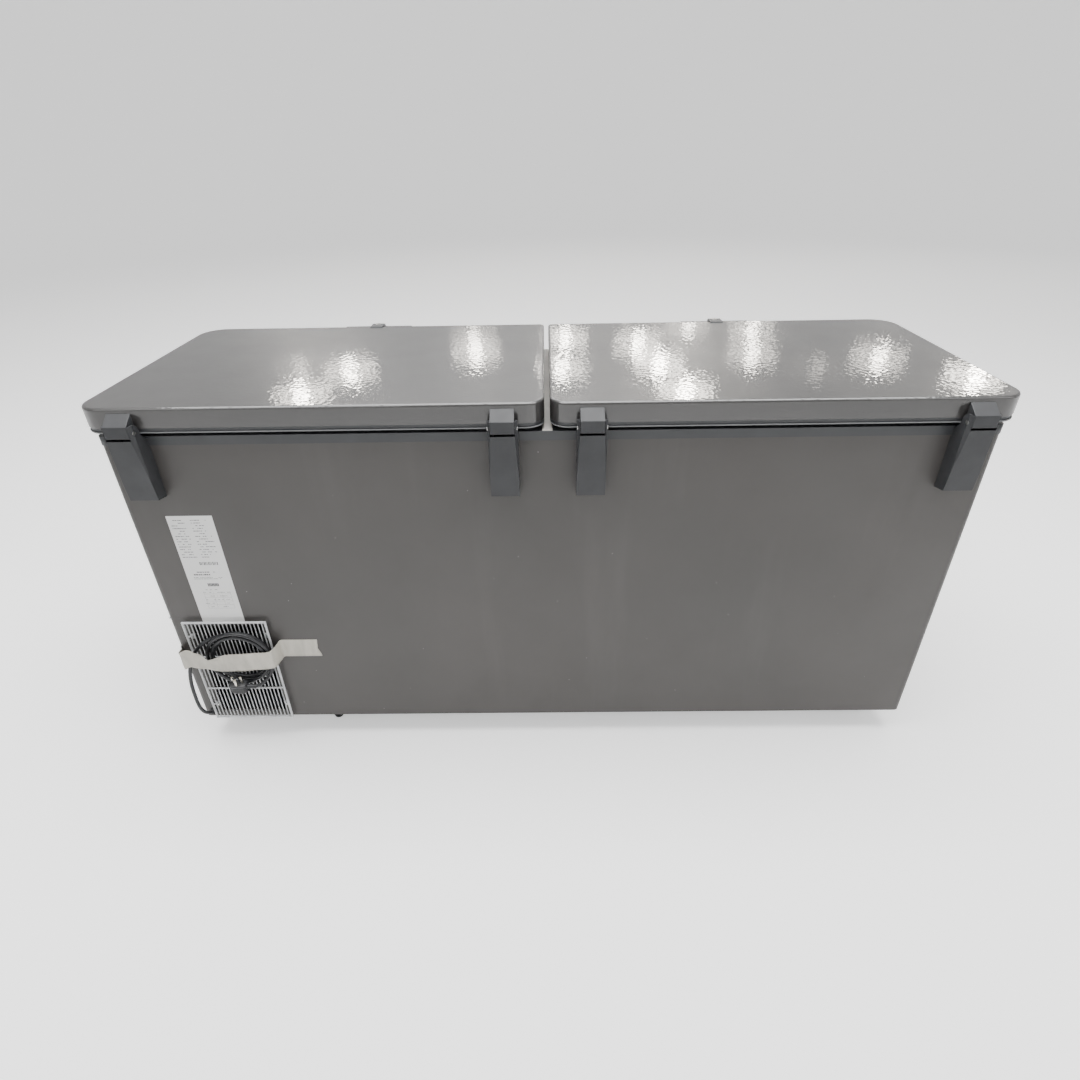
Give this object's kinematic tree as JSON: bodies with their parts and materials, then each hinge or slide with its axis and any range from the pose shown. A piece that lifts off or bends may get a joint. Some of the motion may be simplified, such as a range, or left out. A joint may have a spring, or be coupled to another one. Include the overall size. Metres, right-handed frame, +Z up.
{
  "type": "chest freezer",
  "caption": "Long chest freezer on castors with two insulated lids hinged at the rear, front handles with locks, a rear grille and a coiled mains cord taped to the back.",
  "frame": {"origin": "on the floor, under the centre of the freezer", "axes": "+Z up, front with the handles towards -Y, lid hinges towards +Y, machine compartment at the +X end"},
  "size_m": [1.694, 0.634, 0.8475],
  "materials": {
    "rear_steel": "satin paint over zinc plated sheet",
    "lid_steel": "stucco embossed sheet, glossy coat",
    "foam": "rigid foam, cut surface",
    "liner": "stucco embossed sheet",
    "dark_trim": "fine grain",
    "pale_trim": "smooth",
    "galvanised": "galvanised",
    "white_wire": "plastic dipped",
    "zinc": "zinc plated",
    "black_paint": "black satin paint",
    "black_rubber": "matte",
    "copper": "drawn tube, dull",
    "lamp": "tinted lens",
    "black_plastic": "fine grain",
    "paper": "printed film",
    "hinge_case": "satin",
    "spring_steel": "drawn",
    "liner_plastic": "smooth, slight gloss",
    "tape": "thin translucent tape",
    "gasket": "soft vinyl",
    "wheel": "hard tread",
    "brass_pins": "nickel plated",
    "aluminium_sheet": "pressed sheet"
  },
  "bodies": {
    "cabinet": {"outer_shell": "rear_steel", "cabinet_foam": "foam", "inner_liner": "liner", "top_collar": "dark_trim", "centre_mullion": "pale_trim", "base_pan": "galvanised", "machine_panel": "galvanised", "rear_grille": "white_wire", "fixing_screws": "zinc", "front_panel": "dark_trim", "thermostat": "black_plastic", "indicator_lamps": "lamp", "compressor": "black_paint", "compressor_grommets": "black_rubber", "condenser": "black_paint", "fan_shroud": "galvanised", "fan_motor": "zinc", "filter_drier": "copper", "refrigerant_lines": "copper", "evaporator_tube": "copper", "drain_spout": "pale_trim", "rating_label": "paper", "hinge_housings": "hinge_case", "hinge_pins": "zinc", "hinge_springs": "spring_steel", "lock_keepers": "zinc", "castor_plates": "zinc", "support_feet": "black_plastic", "cord_gland": "black_plastic", "cord_lead": "black_rubber", "cord_coil": "black_rubber", "cord_tape": "tape", "plug_body": "black_plastic", "plug_pins": "brass_pins"},
    "knob": {"thermostat_knob": "black_plastic"},
    "fan": {"fan_blade": "aluminium_sheet"},
    "drain_stopper": {"drain_plug": "pale_trim"},
    "basket": {"wire_basket": "white_wire"},
    "lid_left": {"lid_cover_left": "lid_steel", "lid_foam_left": "foam", "lid_panel_left": "dark_trim", "lid_gasket_left": "gasket", "lid_handle_left": "dark_trim", "hinge_leaves_left": "hinge_case"},
    "lock_left": {"lid_lock_left": "zinc"},
    "fork_front_left": {"castor_fork_front_left": "zinc"},
    "wheel_front_left": {"castor_wheel_front_left": "wheel"},
    "fork_rear_left": {"castor_fork_rear_left": "zinc"},
    "wheel_rear_left": {"castor_wheel_rear_left": "wheel"},
    "lid_right": {"lid_cover_right": "lid_steel", "lid_foam_right": "foam", "lid_panel_right": "dark_trim", "lid_gasket_right": "gasket", "lid_handle_right": "dark_trim", "hinge_leaves_right": "hinge_case"},
    "lock_right": {"lid_lock_right": "zinc"},
    "fork_front_right": {"castor_fork_front_right": "zinc"},
    "wheel_front_right": {"castor_wheel_front_right": "wheel"},
    "fork_rear_right": {"castor_fork_rear_right": "zinc"},
    "wheel_rear_right": {"castor_wheel_rear_right": "wheel"}
  },
  "joints": [
    {"name": "lid_left_hinge", "type": "hinge", "parent": "cabinet", "child": "lid_left", "pos_m": [-0.42, 0.298, 0.803], "axis": [-1, 0, 0], "range_deg": [0, 75]},
    {"name": "lock_left_turn", "type": "hinge", "parent": "lid_left", "child": "lock_left", "pos_m": [-0.42, -0.297, 0.82], "axis": [0, 0, -1], "range_deg": [0, 90]},
    {"name": "lid_right_hinge", "type": "hinge", "parent": "cabinet", "child": "lid_right", "pos_m": [0.42, 0.298, 0.803], "axis": [-1, 0, 0], "range_deg": [0, 75]},
    {"name": "lock_right_turn", "type": "hinge", "parent": "lid_right", "child": "lock_right", "pos_m": [0.42, -0.297, 0.82], "axis": [0, 0, 1], "range_deg": [0, 90]},
    {"name": "knob_turn", "type": "hinge", "parent": "cabinet", "child": "knob", "pos_m": [0.66, -0.274, 0.302], "axis": [0, -1, 0], "range_deg": [0, 270]},
    {"name": "fan_spin", "type": "hinge", "parent": "cabinet", "child": "fan", "pos_m": [0.712, -0.15, 0.2], "axis": [0, 1, 0], "continuous": true},
    {"name": "drain_pull", "type": "slide", "parent": "cabinet", "child": "drain_stopper", "axis": [0, 0, 1], "range_m": [0, 0.03]},
    {"name": "basket_slide", "type": "slide", "parent": "cabinet", "child": "basket", "axis": [-1, 0, 0], "range_m": [0, 0.48]},
    {"name": "castor_front_left_swivel", "type": "hinge", "parent": "cabinet", "child": "fork_front_left", "pos_m": [-0.77, -0.206, 0.055], "axis": [0, 0, 1], "continuous": true},
    {"name": "castor_front_left_roll", "type": "hinge", "parent": "fork_front_left", "child": "wheel_front_left", "pos_m": [-0.77, -0.224, 0.025], "axis": [1, 0, 0], "continuous": true},
    {"name": "castor_front_right_swivel", "type": "hinge", "parent": "cabinet", "child": "fork_front_right", "pos_m": [0.77, -0.206, 0.055], "axis": [0, 0, 1], "continuous": true},
    {"name": "castor_front_right_roll", "type": "hinge", "parent": "fork_front_right", "child": "wheel_front_right", "pos_m": [0.77, -0.224, 0.025], "axis": [1, 0, 0], "continuous": true},
    {"name": "castor_rear_left_swivel", "type": "hinge", "parent": "cabinet", "child": "fork_rear_left", "pos_m": [-0.77, 0.205, 0.055], "axis": [0, 0, 1], "continuous": true},
    {"name": "castor_rear_left_roll", "type": "hinge", "parent": "fork_rear_left", "child": "wheel_rear_left", "pos_m": [-0.77, 0.187, 0.025], "axis": [1, 0, 0], "continuous": true},
    {"name": "castor_rear_right_swivel", "type": "hinge", "parent": "cabinet", "child": "fork_rear_right", "pos_m": [0.77, 0.205, 0.055], "axis": [0, 0, 1], "continuous": true},
    {"name": "castor_rear_right_roll", "type": "hinge", "parent": "fork_rear_right", "child": "wheel_rear_right", "pos_m": [0.77, 0.187, 0.025], "axis": [1, 0, 0], "continuous": true}
  ]
}
